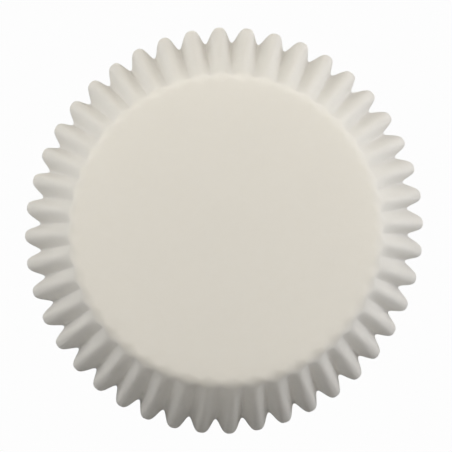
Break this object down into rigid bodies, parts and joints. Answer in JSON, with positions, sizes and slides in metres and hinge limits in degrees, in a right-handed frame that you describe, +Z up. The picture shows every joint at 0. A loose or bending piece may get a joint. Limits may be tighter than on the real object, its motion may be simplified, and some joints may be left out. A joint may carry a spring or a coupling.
{
  "type": "cupcake liner",
  "caption": "Paper baking cup pressed from one round sheet: flat base, rounded corner and a flaring wall of flutes, resting mouth down on its wavy rim.",
  "frame": {"origin": "centre of the circle that the rim stands on, straight below the centre of the base", "axes": "+Z up along the cup's axis, from the open mouth to the flat base; +X points along the crest of a flute"},
  "size_m": [0.0744, 0.0744, 0.031],
  "materials": {
    "paper": "matte"
  },
  "bodies": {
    "root": {"liner": "paper"}
  },
  "joints": []
}
